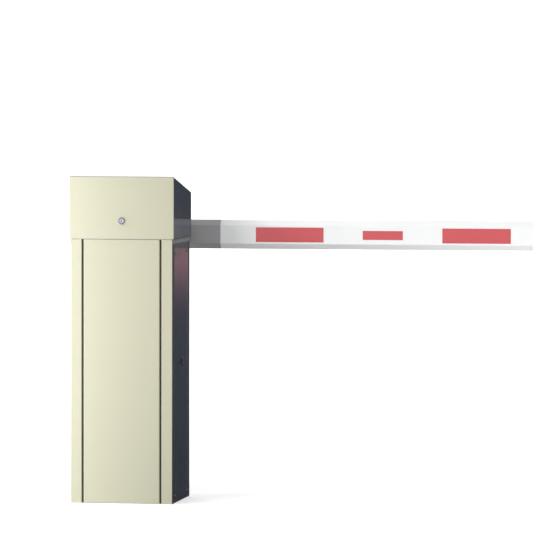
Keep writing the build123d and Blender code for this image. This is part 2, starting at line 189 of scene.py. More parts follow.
print("noise is stretched from", NOISE_LOW, "to", NOISE_HIGH, "where a mask needs 0 to 1")

# %% Groups and materials
SOCKET_KINDS = {"VALUE": "NodeSocketFloat", "RGBA": "NodeSocketColor", "VECTOR": "NodeSocketVector"}


def make_group(name, fill, **inputs):
    """A node group. The fill function adds its nodes and returns what the group gives, by name."""
    group = bpy.data.node_groups.new(name, "ShaderNodeTree")
    new_socket = group.interface.new_socket
    for label, value in inputs.items():
        kind = SOCKET_KINDS["RGBA" if isinstance(value, tuple) else "VALUE"]
        socket = new_socket(name=label.replace("_", " "), in_out="INPUT", socket_type=kind)
        socket.default_value = value
    results = fill(group, group.nodes.new("NodeGroupInput").outputs)
    for label, output in results.items():
        new_socket(name=label, in_out="OUTPUT", socket_type=SOCKET_KINDS[output.type])
    end = group.nodes.new("NodeGroupOutput")
    for label, output in results.items():
        group.links.new(output, end.inputs[label])
    print(name, "has", len(group.nodes), "nodes and gives", *results)
    return group


def use_group(tree, group, **inputs):
    """Places a node group in a network and fills its inputs. Returns its outputs."""
    return add_node(tree, "ShaderNodeGroup", {"node_tree": group}, **inputs).outputs


def new_material(name, **constants):
    """A material with one Principled shader whose plain values are set on its own sockets."""
    material = bpy.data.materials.new(name)
    material.use_nodes = True
    tree = material.node_tree
    shader = next(node for node in tree.nodes if node.type == "BSDF_PRINCIPLED")
    for label, value in constants.items():
        shader.inputs[label.replace("_", " ")].default_value = value
    print("new material:", name)
    return material, tree, shader


def feed_shader(tree, shader, colour, roughness, height, depth, normal=None):
    """Links a colour, a roughness and, through a Bump node, a relief some millimetres deep."""
    bump = add_node(tree, "ShaderNodeBump", Height=height, Distance=depth * MM, Strength=1.0)
    if normal is not None:
        tree.links.new(normal, bump.inputs["Normal"])
    fed = {"Base Color": colour, "Roughness": roughness, "Normal": bump.outputs["Normal"]}
    for label, output in fed.items():
        tree.links.new(output, shader.inputs[label])


print("groups can give", len(SOCKET_KINDS), "kinds of values")

# %% [markdown]
# ## Effect: the skin of powder paint
# Powder paint is baked on, and it sets with tiny soft dimples like the skin of an orange. Its
# colour and gloss also drift a little over a large panel. An image texture could carry this, but
# noise in the object's own coordinates has no seams and the same scale on every piece. One group
# gives the drift in colour, the duller and glossier patches and the height of the dimples, and
# every painted piece uses it with its own colour.

# %% Group: powder skin
def fill_powder_skin(group, given):
    """Colour drift, roughness drift and orange-peel height for painted metal."""
    place = own_place(group)
    clouds = noise(group, place, scale=5.0, detail=4.0)
    patches = noise(group, place, scale=38.0, detail=3.0)
    dimples = noise(group, place, scale=given["Dimples"], detail=1.5)
    change = multiply(group, calculate(group, "SUBTRACT", clouds, 0.5), 2.0)
    change = multiply(group, change, given["Drift"])
    lightness = calculate(group, "ADD", change, 1.0)
    shade = add_node(group, "ShaderNodeHueSaturation", Color=given["Colour"], Value=lightness)
    swing = remap(group, patches, NOISE_LOW, NOISE_HIGH, -1.0, 1.0)
    spread = multiply(group, swing, given["Patches"])
    roughness = calculate(group, "ADD", given["Roughness"], spread, clamp=True)
    return {"Colour": shade.outputs[0], "Roughness": roughness, "Height": dimples}


powder_skin = make_group(
    "powder_skin", fill_powder_skin, Colour=(0.8, 0.8, 0.8, 1.0), Roughness=0.4, Drift=0.03,
    Patches=0.04, Dimples=700.0,
)

# %% [markdown]
# ## Effect: worn and rounded edges
# No real edge is perfectly sharp: sheet metal is bent over a radius, paint thins out on corners,
# and handling rubs them lighter. The edges could be bevelled in the meshes, but these meshes
# belong to the CAD model and stay as they are. The Bevel node rounds them in the shading alone.
# Where its rounded normal turns away from the true one there is an edge, and that difference,
# broken up by noise, is the mask for the wear.

# %% Group: worn edges
BEVEL_SAMPLES = 6


def fill_worn_edges(group, given):
    """A mask that is 1 along rubbed edges, and a normal that rounds them."""
    place = own_place(group)
    true_normal = group.nodes.new("ShaderNodeNewGeometry").outputs["Normal"]
    settings = {"samples": BEVEL_SAMPLES}
    rounded = add_node(group, "ShaderNodeBevel", settings, Radius=given["Radius"]).outputs[0]
    alike = calculate_vector(group, "DOT_PRODUCT", rounded, true_normal)["Value"]
    turned = calculate(group, "SUBTRACT", 1.0, alike)
    scuffs = noise(group, place, scale=60.0, detail=6.0, roughness=0.65)
    broken = remap(group, scuffs, low=0.38, high=0.62)
    edge = remap(group, turned, low=0.02, high=0.2)
    worn = multiply(group, edge, broken)
    mask = multiply(group, worn, given["Wear"], clamp=True)
    return {"Mask": mask, "Normal": rounded}


worn_edges = make_group("worn_edges", fill_worn_edges, Radius=0.0012, Wear=0.5)

# %% [markdown]
# ## Effect: a veil of dust
# Dust settles on what faces up, and rain splashes a faint grey line on the foot of the cabinet.
# This could be painted as a mask by hand, but the direction of the surface and the height above
# the ground already say where dust lies. Both come from the object's own coordinates, so the
# veil stays on its piece when the boom or the lid moves.

# %% Group: dust veil
def fill_dust_veil(group, given):
    """A mask for dust on upward faces and splashes near the ground."""
    coordinates = group.nodes.new("ShaderNodeTexCoord").outputs
    slope = split_xyz(group, coordinates["Normal"])["Z"]
    height = split_xyz(group, coordinates["Object"])["Z"]
    fine = noise(group, coordinates["Object"], scale=85.0, detail=8.0)
    broad = noise(group, coordinates["Object"], scale=9.0, detail=3.0)
    specks = remap(group, multiply(group, fine, broad), low=0.12, high=0.4)
    upward = remap(group, slope, low=0.3, high=0.95)
    settled = multiply(group, upward, given["Settled"])
    near_ground = remap(group, height, 0.0, given["Splash Height"], 1.0, 0.0)
    splash = multiply(group, near_ground, given["Splash"])
    dust = calculate(group, "ADD", settled, splash)
    return {"Mask": multiply(group, dust, specks, clamp=True)}


dust_veil = make_group("dust_veil", fill_dust_veil, Settled=0.15, Splash=0.1, Splash_Height=0.12)

# %% [markdown]
# ## Effect: bare metal
# Bare metal is never even. A turned or brushed part has fine lines along one direction, a
# zinc-coated sheet shows crystals of different greys, and a casting has the grain of its sand.
# Three small groups give these: stretched noise for the lines, Voronoi cells for the crystals,
# and two sizes of noise for the sand. Each material picks the one that its real part would have.

# %% Group: brushed lines
def fill_brushed_lines(group, given):
    """Fine lines along X, Y or Z: the direction with the smallest stretch."""
    stretch = group.nodes.new("ShaderNodeCombineXYZ")
    for index, axis in enumerate("XYZ"):
        group.links.new(given["Lines " + axis], stretch.inputs[index])
    scaled = calculate_vector(group, "MULTIPLY", own_place(group), stretch.outputs[0])["Vector"]
    lines = noise(group, scaled, scale=1.0, detail=3.0)
    return {"Value": remap(group, lines, NOISE_LOW, NOISE_HIGH), "Height": lines}


brushed_lines = make_group(
    "brushed_lines", fill_brushed_lines, Lines_X=30.0, Lines_Y=2500.0, Lines_Z=2500.0,
)

# %% Group: zinc crystals
BEND_SHARE = 0.03


def fill_zinc_crystals(group, given):
    """Grey crystals of a zinc-coated sheet, with edges bent by a fine noise."""
    place = own_place(group)
    bend = add_node(group, "ShaderNodeTexNoise", Vector=place, Scale=120.0, Detail=2.0)
    moved = blend_colours(group, BEND_SHARE, place, bend.outputs["Color"])
    cells = add_node(group, "ShaderNodeTexVoronoi", Vector=moved, Scale=given["Crystals"])
    grey = add_node(group, "ShaderNodeSeparateColor", Color=cells.outputs["Color"]).outputs[0]
    return {"Value": grey, "Height": cells.outputs["Distance"]}


zinc_crystals = make_group("zinc_crystals", fill_zinc_crystals, Crystals=90.0)

# %% Group: cast grain
WAVE_SHARE = 0.6


def fill_cast_grain(group, given):
    """The grain of a sand or pressure casting, fine pits over soft waves."""
    place = own_place(group)
    grain = noise(group, place, scale=given["Grain"], detail=4.0)
    waves = noise(group, place, scale=given["Waves"], detail=2.0)
    height = multiply(group, waves, WAVE_SHARE)
    value = remap(group, grain, NOISE_LOW, NOISE_HIGH)
    return {"Value": value, "Height": calculate(group, "ADD", height, grain)}


cast_grain = make_group("cast_grain", fill_cast_grain, Grain=900.0, Waves=60.0)

# %% [markdown]
# ## Effect: the cells of reflective film
# Road film sends headlights back through rows of tiny prisms sealed in six-sided cells, seen
# up close as a fine net. Three sine waves turned by 60 degrees add up to such a net, and need
# no texture. The film lies in the XZ plane, so only those two coordinates are used.

# %% Group: film net
def fill_film_net(group, given):
    """The six-sided net of reflective film in the XZ plane: 1 on the walls of the cells."""
    parts = split_xyz(group, own_place(group))
    total = None
    for turn in range(3):
        angle = math.radians(60 * turn)
        across = multiply(group, parts["X"], math.cos(angle))
        along = multiply(group, parts["Z"], math.sin(angle))
        distance = calculate(group, "DIVIDE", calculate(group, "ADD", across, along), given["Cell"])
        wave = calculate(group, "COSINE", multiply(group, distance, math.tau))
        total = wave if total is None else calculate(group, "ADD", total, wave)
    return {"Mask": remap(group, total, low=-1.5, high=-0.6, new_low=1.0, new_high=0.0)}


film_net = make_group("film_net", fill_film_net, Cell=0.004)

# %% [markdown]
# ## Painted finishes
# The front, the back and the lid's ends are cream, the sides and the hood are anthracite, and
# the boom is gloss white with a grey cast root. All are the same kind of paint, so one function
# makes them all and only the colour, gloss, drift and dust differ. The boom's gloss is the most
# even, because patches show at once on white. The paint's colour is mixed towards a paler one
# where edges are rubbed and towards dust where it settles, and the dimples go to the shader's
# normal on top of the rounded edges. On the cream, the paler edges are partly wear and partly
# painted highlights along the edges and grooves.

# %% Painted materials
DUST_COLOUR = (0.52, 0.48, 0.42, 1.0)
DUST_DULLS = 0.4


def paint(name, colour, roughness, drift=0.03, wear=0.3, rubbed=(0.75, 0.74, 0.72, 1.0),
          settled=0.12, splash=0.06, edge=1.0, patches=0.04, dimple_depth=0.02):
    """A powder-painted finish. The edge's radius and the dimples' depth are in millimetres."""
    material, tree, shader = new_material(name)
    given = {"Colour": colour, "Roughness": roughness, "Drift": drift, "Patches": patches}
    skin = use_group(tree, powder_skin, **given)
    edges = use_group(tree, worn_edges, Radius=edge * MM, Wear=wear)
    dust = use_group(tree, dust_veil, Settled=settled, Splash=splash)
    # Rubbed edges go towards a paler colour; on the cream this is also a painted highlight along
    # the edges.
    rubbed_paint = blend_colours(tree, edges["Mask"], skin["Colour"], rubbed)
    dusty_paint = blend_colours(tree, dust["Mask"], rubbed_paint, DUST_COLOUR)
    dulled = multiply(tree, dust["Mask"], DUST_DULLS)
    dusty_roughness = calculate(tree, "ADD", skin["Roughness"], dulled)
    relief = (skin["Height"], dimple_depth, edges["Normal"])
    feed_shader(tree, shader, dusty_paint, dusty_roughness, *relief)
    return material


# The cream's pale rubbed colour is partly wear and partly painted highlights along its edges and
# grooves.
cream_paint = paint(
    "cream_paint", (0.486, 0.477, 0.358, 1.0), 0.42, drift=0.015, wear=0.12, edge=0.4,
)
dark_paint = paint(
    "anthracite_matt", (0.062, 0.065, 0.074, 1.0), 0.50, drift=0.05, wear=0.10,
    rubbed=(0.16, 0.17, 0.18, 1.0), settled=0.05, splash=0.02, dimple_depth=0.01,
)
side_gloss = paint(
    "anthracite_gloss", (0.075, 0.091, 0.122, 1.0), 0.17, drift=0.04, wear=0.08,
    rubbed=(0.16, 0.17, 0.18, 1.0), settled=0.05, splash=0.02, dimple_depth=0.004,
)
boom_white = paint(
    "boom_white", (0.915, 0.92, 0.92, 1.0), 0.30, drift=0.006, wear=0.10,
    rubbed=(0.62, 0.62, 0.61, 1.0), settled=0.0, splash=0.0, patches=0.006, dimple_depth=0.008,
)
arm_grey = paint(
    "arm_grey", (0.352, 0.348, 0.360, 1.0), 0.32, drift=0.05, wear=0.25,
    rubbed=(0.55, 0.55, 0.55, 1.0), settled=0.08, splash=0.0, dimple_depth=0.02,
)
# The trim's pale grey is a painted reflection of the light band under the lid.
trim_painted_reflection = paint(
    "trim_painted_reflection", (0.290, 0.262, 0.262, 1.0), 0.45, drift=0.04, wear=0.2,
    rubbed=(0.40, 0.39, 0.38, 1.0), settled=0.06, splash=0.0, dimple_depth=0.008,
)
motor_black = paint(
    "motor_black", (0.030, 0.031, 0.034, 1.0), 0.38, drift=0.08, wear=0.5,
    rubbed=(0.22, 0.22, 0.22, 1.0), settled=0.1, splash=0.0,
)

# %% [markdown]
# ## Bare metals
# Inside, the posts, frame and plates are zinc-coated steel, the gearbox and bearing are cast
# aluminium, and the shaft is ground steel. Outside, only the screws and the lock are bare. A
# metal's colour is its reflection, so it is pale, and most of what the eye reads as metal is
# roughness that varies: along brushed lines, from crystal to crystal, or over the cast grain.
# One function makes them all from the pattern of the metal, two greys and two roughnesses.

# %% Bare metals
def bare_metal(name, pattern, dark, light, smooth, rough, rubbed=None, depth=0.004, radius=0.5,
               wear=0.4, settled=0.0, **pattern_inputs):
    """A metal whose grey and gloss follow a pattern. Depth and radius are in millimetres."""
    material, tree, shader = new_material(name, Metallic=1.0)
    given = use_group(tree, pattern, **pattern_inputs)
    edges = use_group(tree, worn_edges, Radius=radius * MM, Wear=wear)
    tone = blend_colours(tree, given["Value"], dark, light)
    colour = blend_colours(tree, edges["Mask"], tone, rubbed or light)
    if settled:
        dust = use_group(tree, dust_veil, Settled=settled, Splash=0.1)
        colour = blend_colours(tree, dust["Mask"], colour, DUST_COLOUR)
    roughness = remap(tree, given["Value"], 0.0, 1.0, smooth, rough)
    feed_shader(tree, shader, colour, roughness, given["Height"], depth, edges["Normal"])
    return material


zinc_steel = bare_metal(
    "zinc_sheet", zinc_crystals, (0.47, 0.485, 0.50, 1.0), (0.61, 0.62, 0.63, 1.0), 0.34, 0.52,
    rubbed=(0.74, 0.74, 0.73, 1.0), depth=0.01, radius=0.8, wear=0.5, settled=0.35, Crystals=85.0,
)
cast_aluminium = bare_metal(
    "cast_aluminium", cast_grain, (0.40, 0.40, 0.405, 1.0), (0.52, 0.52, 0.52, 1.0), 0.62, 0.48,
    rubbed=(0.70, 0.70, 0.69, 1.0), depth=0.06, radius=1.5, wear=0.6, Grain=750.0, Waves=45.0,
)
ALONG_Y = {"Lines_X": 900.0, "Lines_Y": 60.0, "Lines_Z": 900.0}
ALL_WAYS = {"Lines_X": 1400.0, "Lines_Y": 1400.0, "Lines_Z": 1400.0}
BRUSHED = (  # name, dark, light, smooth, rough, lines
    ("ground_steel", (0.50, 0.50, 0.50, 1.0), (0.66, 0.66, 0.65, 1.0), 0.22, 0.36, ALONG_Y),
    ("lock_chrome", (0.20, 0.20, 0.22, 1.0), (0.32, 0.32, 0.34, 1.0), 0.12, 0.20, ALONG_Y),
    ("lock_nickel", (0.46, 0.45, 0.56, 1.0), (0.60, 0.59, 0.71, 1.0), 0.26, 0.38, ALONG_Y),
    ("screw_steel", (0.55, 0.55, 0.56, 1.0), (0.74, 0.74, 0.74, 1.0), 0.20, 0.34, ALL_WAYS),
    ("black_screw", (0.11, 0.11, 0.12, 1.0), (0.22, 0.22, 0.24, 1.0), 0.30, 0.42, ALL_WAYS),
)
shaft_steel, lock_chrome, lock_nickel, screw_steel, black_screw = (
    bare_metal(name, brushed_lines, *look, **lines) for name, *look, lines in BRUSHED
)

# %% [markdown]
# ## Plastics, film and glass
# The caps and the control unit are moulded plastic with a fine eroded texture, the stripes are
# red reflective film under a clear top layer, and the photocells look out through a dark
# window that only passes infrared light. The plastics share one function. The film gets a clear
# coat on its own socket, and its net only changes the colour and roughness underneath.

# %% Plastics
PALER_GAIN = 1.3
PALER_LIFT = 0.02
GRAIN_TINT = 0.18
GLOSS_SWING = (-0.04, 0.05)


def moulded_plastic(name, colour, roughness, grain=1500.0, depth=0.02):
    """A moulded plastic with an eroded texture, its depth in millimetres."""
    material, tree, shader = new_material(name)
    texture = use_group(tree, cast_grain, Grain=grain, Waves=70.0)
    edges = use_group(tree, worn_edges, Radius=0.6 * MM, Wear=0.1)
    dust = use_group(tree, dust_veil, Settled=0.1, Splash=0.0)
    paler = [min(1.0, channel * PALER_GAIN + PALER_LIFT) for channel in colour[:3]] + [1.0]
    tint = multiply(tree, texture["Value"], GRAIN_TINT)
    varied = blend_colours(tree, tint, colour, paler)
    rubbed = blend_colours(tree, edges["Mask"], varied, paler)
    dusty = blend_colours(tree, dust["Mask"], rubbed, DUST_COLOUR)
    gloss = [roughness + swing for swing in GLOSS_SWING]
    uneven = remap(tree, texture["Value"], 0.0, 1.0, *gloss)
    feed_shader(tree, shader, dusty, uneven, texture["Height"], depth, edges["Normal"])
    return material


cap_plastic = moulded_plastic("cap_plastic", (0.035, 0.036, 0.038, 1.0), 0.52)
control_plastic = moulded_plastic("control_plastic", (0.48, 0.49, 0.50, 1.0), 0.55)
# The seals' near-black rubber also paints the shade deep in the grooves.
seal_rubber_and_shade = moulded_plastic(
    "seal_rubber_and_shade", (0.075, 0.066, 0.060, 1.0), 0.75, grain=1100.0, depth=0.05,
)
photocell_black = moulded_plastic(
    "photocell_black", (0.012, 0.012, 0.013, 1.0), 0.28, depth=0.006,
)


# %% Film and dark window
WALL_STRENGTH = 0.35


def red_film():
    """Red reflective film: a net of cells under a clear top layer."""
    material, tree, shader = new_material("red_film", Coat_Weight=0.4, Coat_Roughness=0.12)
    net = use_group(tree, film_net, Cell=0.0042)
    red = (0.60, 0.078, 0.088, 1.0)
    wall_red = (0.48, 0.055, 0.065, 1.0)
    skin = use_group(tree, powder_skin, Colour=red, Roughness=0.34, Drift=0.03)
    walls = multiply(tree, net["Mask"], WALL_STRENGTH)
    colour = blend_colours(tree, walls, skin["Colour"], wall_red)
    feed_shader(tree, shader, colour, skin["Roughness"], net["Mask"], 0.03)
    return material


def dark_window():
    """The photocell's window: near-black plastic with a hint of deep red, and polished."""
    material, tree, shader = new_material("dark_window", Coat_Weight=1.0, Coat_Roughness=0.04)
    deep_red = (0.010, 0.004, 0.005, 1.0)
    skin = use_group(tree, powder_skin, Colour=deep_red, Roughness=0.12, Drift=0.1)
    feed_shader(tree, shader, skin["Colour"], skin["Roughness"], skin["Height"], 0.002)
    return material


film_red = red_film()
window_black = dark_window()

# %% [markdown]
# ## Dressing the CAD pieces
# Each CAD node carries the name of its finish, so a table from that name to a material dresses
# them all. The nodes arrive with smoothed normals, which bend the light on a flat face beside a
# small fillet. Round pieces keep smooth shading with sharp edges above an angle, and the pieces
# of folded sheet and the boom are shaded flat, which is true to them because their bends are
# finely divided.

# %% Assign materials and shading
FINISHES = dict(
    frame_steel=zinc_steel, cream_paint=cream_paint, dark_paint=dark_paint, side_gloss=side_gloss,
    photocell_black=photocell_black, cast_metal=cast_aluminium, motor_black=motor_black,
    control_plastic=control_plastic, lock_metal=lock_chrome, lock_brass=lock_nickel,
    shaft_steel=shaft_steel, arm_grey=arm_grey, cap_plastic=cap_plastic, boom_white=boom_white,
    red_film=film_red,
)
ROUND_NODES = (
    "gearbox_housing", "drive_motor", "shaft_bearing", "output_shaft", "hub_cap",
    "lock_barrel", "lock_plug", "photocell_left", "photocell_right",
)
SMOOTH_ANGLE = math.radians(28)


def shade(mesh, round_form):
    """Smooth shading up to an angle for round forms, flat shading for the others."""
    if "custom_normal" in mesh.attributes:
        mesh.attributes.remove(mesh.attributes["custom_normal"])
    if round_form:
        mesh.shade_smooth()
        mesh.set_sharp_from_angle(angle=SMOOTH_ANGLE)
    else:
        mesh.shade_flat()


for part in frame["record"]["subparts"]:
    node = nodes[part["node"]]
    finish = FINISHES[part["material_slot"]]
    for slot in node.material_slots:
        slot.material = finish
    shade(node.data, part["node"] in ROUND_NODES)
print("dressed", len(nodes), "nodes with", len(FINISHES), "finishes")

# %% [markdown]
# ## Small turned parts
# A screw is a turned part with a tool recess. It could be a cylinder with a boolean cut, but
# booleans are slow and leave ragged edges. Here a profile is swept round an axis, and each ring
# of the profile may be a circle or a hexagon, given as a radius that depends on the angle. A
# socket is then only a few more rings that go down again inside the head. All screws of one
# kind on one piece go into a single mesh, one copy per place.

# %% Rings and turned forms
STEPS = 24
SIDES = (("left", -1), ("right", 1))


def circle(radius):
    """A ring of constant radius, in millimetres."""
    return lambda angle: radius * MM


def hexagon(across_flats):
    """A six-sided ring, by its width across flats in millimetres."""
    inner = across_flats / 2 * MM

    def radius(angle):
        offset = (angle + math.pi / 6) % (math.pi / 3) - math.pi / 6
        return inner / math.cos(offset)

    return radius


def join_rings(bm, rings, annular=False):
    """Joins each ring of vertices to the next, and closes the ends or the ring of rings."""
    for lower, upper in zip(rings, rings[1:] + rings[:1] if annular else rings[1:]):
        for index in range(len(lower)):
            following = (index + 1) % len(lower)
            bm.faces.new((lower[index], lower[following], upper[following], upper[index]))
    if not annular:
        bm.faces.new(reversed(rings[0]))
        bm.faces.new(rings[-1])


def add_turned(bm, profile, place, annular=False):
    """Adds one closed turned form to a mesh. A profile point is (ring, height in millimetres)."""
    rings = []
    for ring, height in profile:
        verts = []
        for step in range(STEPS):
            angle = math.tau * step / STEPS
            reach = ring(angle)
            point = Vector((reach * math.cos(angle), reach * math.sin(angle), height * MM))
            verts.append(bm.verts.new(place @ point))
        rings.append(verts)
    join_rings(bm, rings, annular)


print("turned parts have", STEPS, "sides")


# %% Placing and finishing pieces
def facing(point, direction, axis="Z"):
    """A place at a point whose own Z axis, or another one, looks along a direction."""
    turn = Vector(direction).to_track_quat(axis, "Y").to_matrix().to_4x4()
    return Matrix.Translation(Vector(point)) @ turn


def finish_piece(name, bm, material, body, smooth=True):
    """Turns a bmesh into an object that rides on a body."""
    bmesh.ops.recalc_face_normals(bm, faces=bm.faces)
    mesh = bpy.data.meshes.new(name)
    bm.to_mesh(mesh)
    bm.free()
    mesh.materials.append(material)
    piece = add_object(name, mesh)
    shade(mesh, smooth)
    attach(piece, body)
    print(name, "has", len(mesh.polygons), "faces and rides on the", body)


def turned_copies(name, profile, places, material, body="cabinet",
                  annular=False):
    """One mesh with a turned form at each place."""
    bm = bmesh.new()
    for place in places:
        add_turned(bm, profile, place, annular)
    finish_piece(name, bm, material, body)


# %% Profiles of the screws
BUTTON_SCREW = (
    (circle(2.9), -1.5), (circle(2.9), 0.02), (circle(4.75), 0.02), (circle(4.75), 0.5),
    (circle(4.3), 1.5), (circle(3.4), 2.3), (circle(2.4), 2.75), (hexagon(3.2), 2.8),
    (hexagon(3.0), 2.6), (hexagon(3.0), 0.9), (circle(0.6), 0.6),
)
CAP_SCREW = (
    (circle(4.2), 0.02), (circle(4.2), 3.6), (circle(3.8), 4.0), (hexagon(4.2), 4.0),
    (hexagon(4.0), 3.8), (hexagon(4.0), 1.6), (circle(0.8), 1.2),
)
HEX_BOLT = (
    (circle(8.0), 0.02), (circle(8.0), 1.4), (circle(7.6), 1.6), (hexagon(12.6), 1.6),
    (hexagon(13.0), 2.0), (hexagon(13.0), 6.2), (circle(6.2), 7.1), (circle(5.0), 7.1),
)
print("a bolt's head and washer are", HEX_BOLT[-1][1], "mm high")

# %% [markdown]
# ## Screws outside
# Each side panel is held by four button-head screws, which catch the light as small bright dots
# near the foot. Their places come from the panel's own box: a fixed distance in from its front
# and back edges, near the bottom, and a little below the lid. On the boom's hidden face, four
# screws hold the tube on the root, and two more hold the cap in the boom's end.

# %% Side panel screws
PANEL_SCREW_INSET = 18 * MM
PANEL_SCREW_HEIGHTS = (21.5 * MM, 784 * MM)

for side, sign in SIDES:
    low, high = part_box("side_panel_" + side)
    face = high.x if sign > 0 else low.x
    rows = (low.y + PANEL_SCREW_INSET, high.y - PANEL_SCREW_INSET)
    places = [facing((face, y, z), (sign, 0, 0)) for y in rows for z in PANEL_SCREW_HEIGHTS]
    turned_copies("side_screws_" + side, BUTTON_SCREW, places, black_screw)

# %% Boom screws
low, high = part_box("boom_tube")
TUBE_SCREW_DISTANCES = (40 * MM, 110 * MM)
TUBE_SCREW_OFFSET = 16 * MM
boom_middle = (low + high) / 2
rows = (boom_middle.z - TUBE_SCREW_OFFSET, boom_middle.z + TUBE_SCREW_OFFSET)
places = [
    facing((low.x + distance, high.y, z), (0, 1, 0))
    for distance in TUBE_SCREW_DISTANCES for z in rows
]
turned_copies("boom_screws", BUTTON_SCREW, places, screw_steel, "boom")

END_SCREW_FROM_MIDDLE = 40.6 * MM
end_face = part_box("boom_end_cap")[1].x
rows = (boom_middle.z - END_SCREW_FROM_MIDDLE, boom_middle.z + END_SCREW_FROM_MIDDLE)
places = [facing((end_face, boom_middle.y, z), (1, 0, 0)) for z in rows]
END_SCREW = (
    (circle(3.0), 0.02), (circle(3.0), 0.4), (circle(2.4), 1.1), (hexagon(2.2), 1.2),
    (hexagon(2.0), 0.3), (circle(0.5), 0.2),
)
turned_copies("end_cap_screws", END_SCREW, places, screw_steel, "boom")

# %% [markdown]
# ## Screws and bolts inside
# With the lid off, the drive can be seen: the bearing is bolted through its flange, the drive
# plate is bolted to the back posts, and the gearbox cover and the control unit are screwed on.
# The bolts stand on circles round the shaft's axis or on rows along the posts, so loops place
# them all. On a circle, the first bolt stands half a step off the horizontal.

# %% Bolts of the drive
shaft_axis = (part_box("output_shaft")[0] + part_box("output_shaft")[1]) / 2
BEARING_BOLT_CIRCLE = 49 * MM
BEARING_BOLTS = 6
BEARING_FLANGE = 10 * MM


def bolt_circle(radius, count, y, direction):
    """Places for bolts on a circle round the shaft."""
    places = []
    for number in range(count):
        angle = math.radians(360 / count * (number + 0.5))
        point = (radius * math.cos(angle), y, shaft_axis.z + radius * math.sin(angle))
        places.append(facing(point, direction))
    return places


plate_low, plate_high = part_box("drive_plate")
flange_face = plate_high.y + BEARING_FLANGE
places = bolt_circle(BEARING_BOLT_CIRCLE, BEARING_BOLTS, flange_face, (0, 1, 0))
turned_copies("bearing_screws", CAP_SCREW, places, screw_steel)

COVER_BOLT_CIRCLE = 42 * MM
COVER_BOLTS = 8
cover_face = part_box("gearbox_housing")[0].y
places = bolt_circle(COVER_BOLT_CIRCLE, COVER_BOLTS, cover_face, (0, -1, 0))
turned_copies("gearbox_cover_screws", CAP_SCREW, places, screw_steel)

post_low, post_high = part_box("corner_post_back_right")
post_middle = (post_low.x + post_high.x) / 2
PLATE_BOLT_FROM_END = 30 * MM
first_bolt = plate_low.z + PLATE_BOLT_FROM_END
last_bolt = post_high.z - PLATE_BOLT_FROM_END
rows = (first_bolt, (first_bolt + last_bolt) / 2, last_bolt)
columns = (-post_middle, post_middle)
places = [facing((x, plate_low.y, z), (0, -1, 0)) for x in columns for z in rows]
turned_copies("drive_plate_bolts", HEX_BOLT, places, screw_steel)

# %% [markdown]
# ## The motor's ribs and the control unit's cover
# The drive motor sheds its heat through ribs round its body, and the control unit's cover is
# closed with four screws. The ribs are one ring repeated along the motor, and they stop short
# of the drive plate behind it.

# %% Motor ribs and cover screws
RIB_COUNT = 15
RIB_PITCH = 8.0 * MM
RIB_FROM_FOOT = 32.0 * MM
RIB = (
    (circle(39.5), -0.9), (circle(42.1), -0.7), (circle(42.4), 0.0), (circle(42.1), 0.7),
    (circle(39.5), 0.9),
)
motor_low, motor_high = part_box("drive_motor")
motor_middle = (motor_low + motor_high) / 2
places = []
for number in range(RIB_COUNT):
    height = motor_low.z + RIB_FROM_FOOT + number * RIB_PITCH
    places.append(facing((motor_middle.x, motor_middle.y, height), (0, 0, 1)))
turned_copies("motor_ribs", RIB, places, motor_black, "cabinet")
print("the top rib is", round((motor_high.z - height) / MM, 1), "mm below the motor's top")

COVER_SCREW_INSET = 9.0 * MM
low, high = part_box("control_box")
columns = (low.x + COVER_SCREW_INSET, high.x - COVER_SCREW_INSET)
rows = (low.z + COVER_SCREW_INSET, high.z - COVER_SCREW_INSET)
places = [facing((x, low.y, z), (0, -1, 0)) for x in columns for z in rows]
turned_copies("cover_screws", END_SCREW, places, black_screw)

# %% [markdown]
# ## The lock's ring and shutter
# The lock is small, but it is the only bright spot on the front. In the picture its ring is
# light on one side and dark on the other, so it is domed and mirrors its surroundings. A dark
# upright shutter fills the keyway, and its black paints the shade deep in the keyway. The ring is
# a turned section that closes on itself, and the shutter is a slim plate with round ends.

# %% Lock ring and shutter
LOCK_RING = (
    (circle(10.5), 0.02), (circle(10.5), 0.3), (circle(10.2), 1.2), (circle(9.6), 2.2),
    (circle(8.9), 2.8), (circle(8.2), 3.0), (circle(7.6), 2.6), (circle(7.2), 1.4),
    (circle(7.0), 0.02),
)
SHUTTER_HALF = 1.7 * MM
SHUTTER_REACH = 3.9 * MM
SHUTTER_RISE = 0.08 * MM
SHUTTER_STEPS = 8
barrel_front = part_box("lock_barrel")[0].y
plug_low, plug_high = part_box("lock_plug")
lock_x = (plug_low.x + plug_high.x) / 2
lock_z = (plug_low.z + plug_high.z) / 2
place = facing((lock_x, barrel_front, lock_z), (0, -1, 0))
turned_copies("lock_ring", LOCK_RING, [place], lock_chrome, "lid", annular=True)

bm = bmesh.new()
rings = []
for y in (plug_low.y + SHUTTER_RISE, plug_low.y - SHUTTER_RISE):
    ring = []
    for sign in (1, -1):
        for step in range(SHUTTER_STEPS + 1):
            angle = math.pi * step / SHUTTER_STEPS
            x = sign * SHUTTER_HALF * math.cos(angle)
            z = sign * (SHUTTER_REACH - SHUTTER_HALF + SHUTTER_HALF * math.sin(angle))
            ring.append(bm.verts.new((lock_x + x, y, lock_z + z)))
    rings.append(ring)
join_rings(bm, rings)
# The shutter's black paints the shade in the keyway.
finish_piece("lock_shutter_shade", bm, cap_plastic, "lid", smooth=False)
plug_stand = (barrel_front - plug_low.y) / MM
print("the plug stands", round(plug_stand, 2), "mm in front of the lock's head")

# %% [markdown]
# ## Seals in the grooves
# The grooves beside the door and the back panel end on a dark rubber seal against the corner
# posts. The seal is partly real and partly painted shade: its near-black colour paints the shade
# deep in the grooves. Each seal is a strip with a rounded face. Its section is drawn once as a
# half round and pulled up from the strips' foot to their top.

# %% Groove seals
SEAL_STEPS = 8
SEAL_RISE = 2.0 * MM
SEAL_EDGE_SHARE = 0.3
door_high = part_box("front_door")[1]
strip_low, strip_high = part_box("corner_strip_front_right")
post_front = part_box("corner_post_front_right")[0].y
seal_middle = (door_high.x + strip_low.x) / 2
seal_half = (strip_low.x - door_high.x) / 2


